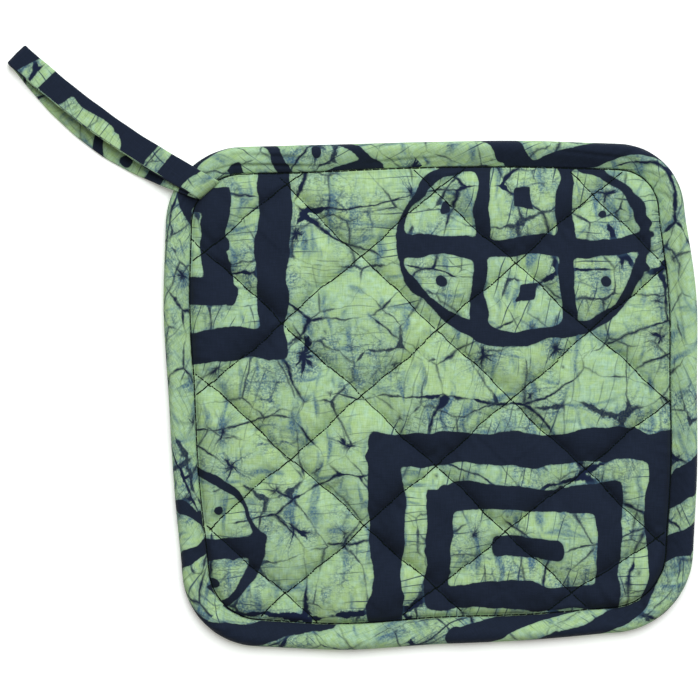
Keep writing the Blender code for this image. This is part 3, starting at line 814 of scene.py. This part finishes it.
def make_binding(material):
    """The roll: its section carried round the seam, swollen by gathers and cut by long folds."""
    face, across = even_curve(BINDING_FACE, SECTION_STEPS)
    lip = np.minimum(np.minimum(across, across[-1] - across) / 1.2, 1.0)
    thick = LIP_CLOTH + (BINDING_CLOTH - LIP_CLOTH) * lip

    turn = np.arange(BINDING_STATIONS) * 4 / BINDING_STATIONS
    lean_all_round = (BINDING_LEAN[-1], *BINDING_LEAN, BINDING_LEAN[0])
    lean = np.interp(turn, np.arange(-0.5, 5), lean_all_round)[:, None]
    section = np.stack((0 * lean + face[:, 0], face[:, 1] + lean * (face[:, 2] - face[:, 1])), axis=-1)
    along = np.gradient(section, axis=1)
    along /= np.linalg.norm(along, axis=2)[..., None]
    normal = np.stack((-along[..., 1], along[..., 0]), axis=-1)
    seam, outward = at_turn(SEAM, turn), at_turn(EDGE_OUT, turn)
    steps = np.linalg.norm(np.roll(seam, -1, axis=0) - seam, axis=1)
    run = np.concatenate(([0.0], np.cumsum(steps)))
    widths = np.linalg.norm(at_turn(EDGE, turn) - seam, axis=1) / BINDING_WIDTH
    from_corner = np.abs(np.mod(turn + 0.5, 1) - 0.5)
    corner = np.exp(-((from_corner / 0.11) ** 2))

    share = across / across[-1]
    top_in = np.exp(-(((share - 0.13) / 0.13) ** 2))
    top_out = np.exp(-(((share - 0.36) / 0.12) ** 2))
    gathers = ripple(run[:-1], (5.1, 0.5, 0), (3.2, 0.35, 1), (8.3, 0.5, 2))
    slow = ripple(run[:-1], (41, 0.5, 0), (23, 0.35, 1), (67, 0.4, 3))
    slant = ripple(run[:-1, None] + across[None, :] * 0.9, (4.3, 0.6, 0.5), (6.7, 0.4, 1.5))
    swell = (
        (0.09 + 0.24 * corner)[:, None] * gathers[:, None] * top_in[None, :]
        + (0.08 + 0.2 * corner)[:, None] * slant * (top_out + 0.5 * top_in)[None, :]
        + 0.2 * slow[:, None] * (top_in + top_out)[None, :]
    )

    for fold in BINDING_FOLDS:
        ahead = (turn - fold.turn) / fold.reach
        valley = (share[None, :] - fold.across - fold.drift * ahead[:, None]) / 0.022
        dip = np.exp(-(valley**2)) - 0.6 * np.exp(-((valley - 2.4) ** 2))
        swell -= fold.depth * np.exp(-(ahead**4))[:, None] * dip

    outer = section + normal * swell[..., None]
    inner = section - normal * thick[None, :, None]
    ring = np.concatenate((outer, inner[:, ::-1]), axis=1)
    ring[..., 0] *= widths[:, None]
    plan = seam[:, None, :] + outward[:, None, :] * ring[..., :1]
    up = pressed(plan[..., 0], plan[..., 1], np.maximum(ring[..., 1], 0.0))
    points = np.concatenate((plan, up[..., None]), axis=-1).reshape(-1, 3)

    size = ring.shape[1]
    n = np.arange(BINDING_STATIONS)[:, None]
    k = np.arange(size)[None, :]
    there, m = (n + 1) % BINDING_STATIONS, (k + 1) % size
    faces = np.stack((n * size + k, n * size + m, there * size + m, there * size + k), axis=-1)
    width = np.concatenate((across, across[::-1]))
    here, on, near, far = (
        np.broadcast_to(values, (BINDING_STATIONS, size))
        for values in (run[:-1, None], run[1:, None], width[k], width[m])
    )
    runs, widths = np.stack((here, here, on, on), axis=-1), np.stack((near, far, far, near), axis=-1)
    cloth = cut_from_cloth(runs, widths, BINDING_GRAIN_DEG, BINDING_CUT_FROM).reshape(-1, 2)
    return sewn_object("binding_rolled", points, faces.reshape(-1, 4).tolist(), cloth, material)


binding = make_binding(cotton)
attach(binding, "root")
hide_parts("edge_binding")

# Hanging loop.
# A strap of the batik, its long edges turned in and pressed flat. It is folded over itself at the tip, and
# both ends are sewn down over the binding at the upper left corner.

LOOP_RUN = 88.0
STRAP_WIDTH = 9.8
STRAP_THICK = 1.5
STRAP_EDGE = 0.62
LOWER_ARM_BOW = 7.8
UPPER_ARM_BOW = 2.7
LOWER_SKEW_DEG, UPPER_SKEW_DEG, SKEW_RUN = 8.4, 20.0, 12.0
STRAP_GRAIN_DEG, STRAP_CUT_FROM = -85, (-852, 1234)
ArmStation = namedtuple("ArmStation", "run height")
LOWER_ARM = (
    ArmStation(1.8, 6.2),
    ArmStation(4.0, 6.6),
    ArmStation(6.5, 6.6),
    ArmStation(9.5, 6.1),
    ArmStation(15.0, 4.3),
    ArmStation(23.0, 1.8),
    ArmStation(32.0, STRAP_THICK / 2),
    ArmStation(LOOP_RUN, STRAP_THICK / 2),
)
UPPER_ARM = (
    ArmStation(-1.2, 2.2),
    ArmStation(-0.7, 4.4),
    ArmStation(0.2, 6.2),
    ArmStation(1.7, 7.6),
    ArmStation(4.0, 8.5),
    ArmStation(7.0, 8.45),
    ArmStation(12.0, 8.0),
    ArmStation(22.0, 7.9),
    ArmStation(34.0, 8.1),
    ArmStation(46.0, 8.1),
    ArmStation(58.0, 7.7),
    ArmStation(70.0, 6.4),
    ArmStation(80.0, 4.9),
    ArmStation(LOOP_RUN, 3.8),
)


def arm_line(stations, bow, skew_deg):
    """Points (x, y, up), headings and widths along an arm, whose sewn end is askew along the seam."""
    knots = np.array(stations)
    runs = np.append(np.arange(knots[0, 0], knots[-1, 0], 0.8), knots[-1, 0])
    steps = np.diff(knots[:, 1]) / np.diff(knots[:, 0])
    back, on = steps[:-1], steps[1:]
    middle = np.where(on * back > 0, 2 * on * back / (on + back + 1e-9), 0)
    slopes = np.concatenate((steps[:1], middle, steps[-1:]))
    k = np.clip(np.searchsorted(knots[:, 0], runs, side="right") - 1, 0, len(knots) - 2)
    width = knots[k + 1, 0] - knots[k, 0]
    t = (runs - knots[k, 0]) / width
    up = smooth_between(knots[k, 1], knots[k + 1, 1], width * slopes[k], width * slopes[k + 1], t)
    chord = math.radians(LOOP_HEADING_DEG)
    forward, left = directions(chord), directions(chord + math.pi / 2)
    phase = math.pi * runs / LOOP_RUN
    plan = LOOP_ROOT + runs[:, None] * forward + (bow * np.sin(phase))[:, None] * left
    skew = math.radians(skew_deg) * np.clip(1 - runs / SKEW_RUN, 0, 1)
    heading = chord + np.arctan(bow * math.pi / LOOP_RUN * np.cos(phase)) - skew
    return np.column_stack((plan, up)), heading, 1 / np.cos(skew)


def strap_line():
    """Points, headings and widths along the strap: out below, round the fold and back above."""
    lower, heading_in, wide_in = arm_line(LOWER_ARM, LOWER_ARM_BOW, LOWER_SKEW_DEG)
    upper, heading_out, wide_out = arm_line(UPPER_ARM, UPPER_ARM_BOW, UPPER_SKEW_DEG)
    start, end = lower[-1], upper[-1]
    radius = (end[2] - start[2]) / 2
    share = np.arange(1, 14) / 14
    heading = heading_in[-1] + (heading_out[-1] - heading_in[-1]) * share
    turn = math.pi * share
    plan = start[:2] * (1 - share)[:, None] + end[:2] * share[:, None]
    plan += directions(heading) * (radius * np.sin(turn))[:, None]
    fold = np.column_stack((plan, start[2] + radius * (1 - np.cos(turn))))
    line = np.concatenate((lower, fold, upper[::-1]))
    headings = np.concatenate((heading_in, heading, heading_out[::-1]))
    return line, headings, np.concatenate((wide_in, np.ones(len(share)), wide_out[::-1]))


def strap_section():
    """(across, up) all round the pressed strap, a little crowned, with its edges rounded over."""
    half, thick = STRAP_WIDTH / 2, STRAP_THICK / 2
    crown = np.linspace(half - STRAP_EDGE, STRAP_EDGE - half, 17)
    over = np.column_stack((crown, thick - 0.10 * (crown / half) ** 2))
    turn = np.radians(np.linspace(90, 270, 9)[1:-1])
    end = np.column_stack((STRAP_EDGE - half + STRAP_EDGE * np.cos(turn), (thick - 0.08) * np.sin(turn)))
    return np.concatenate((over, end, -over, -end))


def make_loop(material):
    """The strap's section carried along its line, soft between its firm edges."""
    line, heading, wide = strap_line()
    section = strap_section()
    along = np.gradient(line, axis=0)
    across = np.stack((-np.sin(heading), np.cos(heading), 0 * heading), axis=-1)
    outward = np.cross(across, along)
    outward /= np.linalg.norm(outward, axis=1)[:, None]
    run = np.concatenate(([0.0], np.cumsum(np.linalg.norm(np.diff(line, axis=0), axis=1))))
    soft = ripple(run[:, None] + 0.7 * section[None, :, 0], (17, 0.5, 0), (9.1, 0.3, 1), (5.3, 0.18, 2))
    firm = 1 - np.abs(section[:, 0]) / (STRAP_WIDTH / 2)
    lift = 0.16 * soft * firm[None, :] * np.sign(section[None, :, 1])
    wide = wide * (1 + 0.02 * ripple(run, (31, 0.5, 0), (13, 0.5, 1)))
    points = (
        line[:, None, :]
        + across[:, None, :] * (section[None, :, :1] * wide[:, None, None])
        + outward[:, None, :] * (section[None, :, 1] + lift)[..., None]
    )
    points[..., 2] = np.maximum(points[..., 2], 0.0)
    size, count = len(section), len(line)
    n, k = np.arange(count - 1)[:, None], np.arange(size)[None, :]
    m = (k + 1) % size
    faces = np.stack((n * size + k, n * size + m, (n + 1) * size + m, (n + 1) * size + k), axis=-1)
    faces = faces.reshape(-1, 4).tolist()
    faces += [tuple(reversed(range(size))), tuple(range((count - 1) * size, count * size))]
    girth = np.concatenate(([0.0], np.cumsum(np.linalg.norm(np.diff(section, axis=0), axis=1))))
    flat = cut_from_cloth(run[:, None], girth[None, :], STRAP_GRAIN_DEG, STRAP_CUT_FROM).reshape(-1, 2)
    corners = [corner for face in faces for corner in face]
    return sewn_object("loop_folded", points.reshape(-1, 3), faces, flat[corners], material)


loop = make_loop(cotton)
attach(loop, "root")
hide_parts("hanging_loop")

# Table, light and camera.
# A white sheet that glows a little, as on a light table, a broad soft lamp beyond the top side and pale
# light all round. The camera looks straight down through a long lens.

WHITE = (1.0, 1.0, 1.0, 1.0)
LAMP_PLACE, LAMP_SIZE, LAMP_POWER = (0.15, 0.58, 1.08), 1.0, 21.4
LAMP_COLOUR, ROOM_COLOUR = (0.93, 0.98, 1.0), (1.0, 0.98, 0.76, 1.0)
FRAME_WIDTH = 0.2695
FRAME_MIDDLE = (-0.0312, 0.0177)
LENS, SENSOR = 150.0, 36.0

bpy.ops.mesh.primitive_plane_add(size=6.0, location=(0, 0, -0.0001))
table = bpy.context.object
table.name = "table"
paper = Finish("white_sheet")
paper.surface.inputs["Base Color"].default_value = (0.9, 0.9, 0.9, 1.0)
paper.surface.inputs["Roughness"].default_value = 0.9
paper.surface.inputs["Emission Color"].default_value = WHITE
paper.surface.inputs["Emission Strength"].default_value = 0.2
table.data.materials.append(paper.material)

lamp_data = bpy.data.lights.new("window", "AREA")
lamp_data.shape, lamp_data.size, lamp_data.energy = "SQUARE", LAMP_SIZE, LAMP_POWER
lamp_data.color = LAMP_COLOUR
lamp = bpy.data.objects.new("window", lamp_data)
lamp.location = LAMP_PLACE
lamp.rotation_euler = (-Vector(LAMP_PLACE)).to_track_quat("-Z", "Y").to_euler()
bpy.context.scene.collection.objects.link(lamp)

world = bpy.data.worlds.new("room")
bpy.context.scene.world = world
world.use_nodes = True
world.node_tree.nodes["Background"].inputs["Color"].default_value = ROOM_COLOUR
world.node_tree.nodes["Background"].inputs["Strength"].default_value = 0.26

camera_data = bpy.data.cameras.new("camera")
camera_data.lens = LENS
camera_data.sensor_width = SENSOR
camera = bpy.data.objects.new("camera", camera_data)
camera.location = (*FRAME_MIDDLE, 0.004 + FRAME_WIDTH * LENS / SENSOR)
bpy.context.scene.collection.objects.link(camera)
bpy.context.scene.camera = camera
bpy.context.scene.view_settings.view_transform = "Standard"
